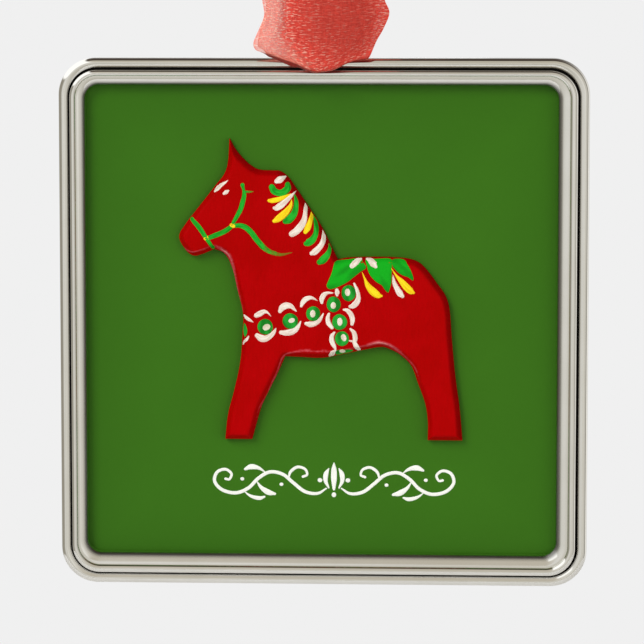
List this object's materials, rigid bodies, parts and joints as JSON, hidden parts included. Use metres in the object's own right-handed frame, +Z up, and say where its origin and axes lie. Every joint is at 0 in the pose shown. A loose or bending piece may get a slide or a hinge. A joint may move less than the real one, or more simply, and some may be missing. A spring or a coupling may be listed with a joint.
{
  "type": "framed hanging ornament",
  "caption": "Square silver ornament with a carved, painted dala horse on a green panel, hung from an organza ribbon loop.",
  "frame": {"origin": "the point that the ornament hangs from, the inside of the top of the ribbon loop", "axes": "+Z up, +X to the right seen from the front, the picture faces -Y"},
  "size_m": [0.0762, 0.017, 0.1549],
  "materials": {
    "silver_plate": "polished silver plate",
    "green_lacquer": "glossy lacquer",
    "red_painted_wood": "painted and varnished",
    "grey_card": "matte",
    "red_organza": "sheer weave with a shine"
  },
  "bodies": {
    "ribbon": {"ribbon_loop": "red_organza", "ribbon_knot": "red_organza"},
    "hitch": {"ribbon_gather": "red_organza"},
    "ornament": {"frame_tray": "silver_plate", "bezel": "silver_plate", "hanger_eye": "silver_plate", "backing_pad": "grey_card", "picture_panel": "green_lacquer", "horse": "red_painted_wood"}
  },
  "joints": [
    {"name": "ribbon_flex", "type": "hinge", "parent": "ribbon", "child": "hitch", "pos_m": [0, 0, -0.04965], "axis": [1, 0, 0], "range_deg": [-70, 70]},
    {"name": "eye_swing", "type": "hinge", "parent": "hitch", "child": "ornament", "pos_m": [0, 0, -0.056], "axis": [0, 1, 0], "range_deg": [-30, 30]}
  ]
}
